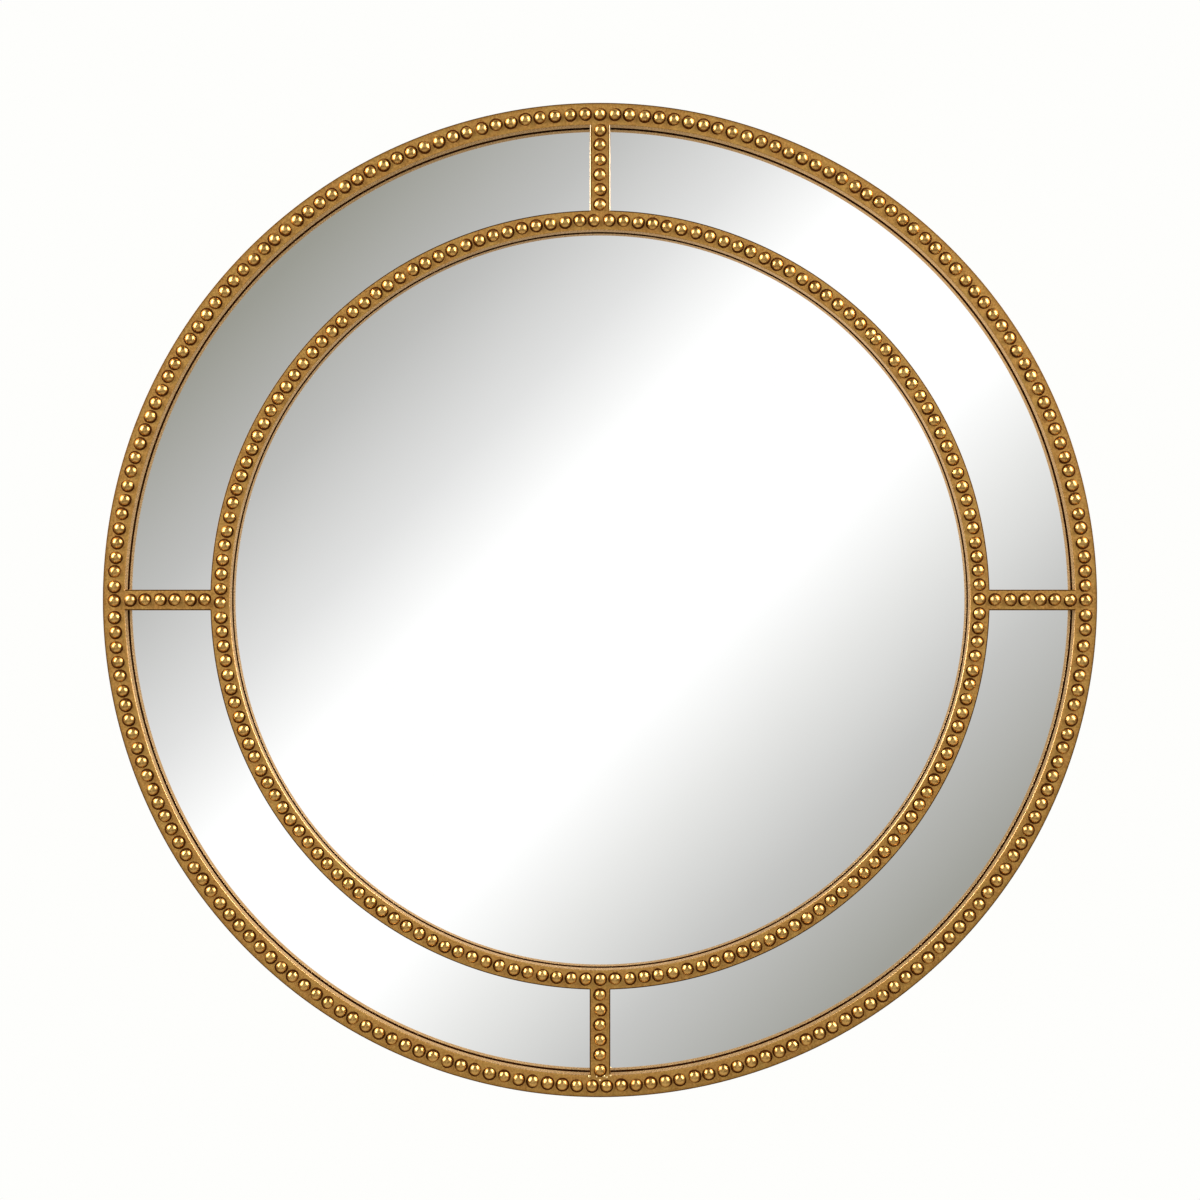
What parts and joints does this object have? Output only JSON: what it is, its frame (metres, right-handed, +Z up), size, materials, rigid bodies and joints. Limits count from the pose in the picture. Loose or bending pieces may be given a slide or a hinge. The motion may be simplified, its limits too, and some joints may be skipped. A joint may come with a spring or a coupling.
{
  "type": "beaded wall mirror",
  "caption": "Round wall mirror: a centre disc and a ring of outer panes, held in a flat gilt frame of two rings and short spokes, with a row of domed beads along every face.",
  "frame": {"origin": "centre of the back board's rear face", "axes": "+Z up as hung, -Y is the way the mirror faces, +Y towards the wall, +X to the viewer's right"},
  "size_m": [0.8127, 0.0322, 0.8128],
  "materials": {
    "gilt_frame": "satin antique gold over wood",
    "gilt_bead": "polished antique gold",
    "mirror_glass": "clear silvered glass",
    "back_board": "plain fibreboard",
    "foam_tape": "foam tape",
    "zinc_steel": "zinc plated",
    "rubber": "moulded rubber"
  },
  "bodies": {
    "mirror": {"outer_ring": "gilt_frame", "inner_ring": "gilt_frame", "upper_spoke": "gilt_frame", "right_spoke": "gilt_frame", "lower_spoke": "gilt_frame", "left_spoke": "gilt_frame", "outer_ring_beads": "gilt_bead", "inner_ring_beads": "gilt_bead", "upper_spoke_beads": "gilt_bead", "right_spoke_beads": "gilt_bead", "lower_spoke_beads": "gilt_bead", "left_spoke_beads": "gilt_bead", "centre_mirror": "mirror_glass", "upper_right_mirror": "mirror_glass", "lower_right_mirror": "mirror_glass", "lower_left_mirror": "mirror_glass", "upper_left_mirror": "mirror_glass", "back_board": "back_board", "centre_mirror_tape": "foam_tape", "outer_mirror_tape": "foam_tape", "left_hanger_strap": "zinc_steel", "right_hanger_strap": "zinc_steel", "hanger_screws": "zinc_steel", "wall_bumpers": "rubber"},
    "left_loop": {"left_d_ring": "zinc_steel"},
    "right_loop": {"right_d_ring": "zinc_steel"}
  },
  "joints": [
    {"name": "left_d_ring_swivel", "type": "hinge", "parent": "mirror", "child": "left_loop", "pos_m": [-0.26, 0.00233, 0.17], "axis": [1, 0, 0], "range_deg": [0, 177]},
    {"name": "right_d_ring_swivel", "type": "hinge", "parent": "mirror", "child": "right_loop", "pos_m": [0.26, 0.00233, 0.17], "axis": [1, 0, 0], "range_deg": [0, 177]}
  ]
}
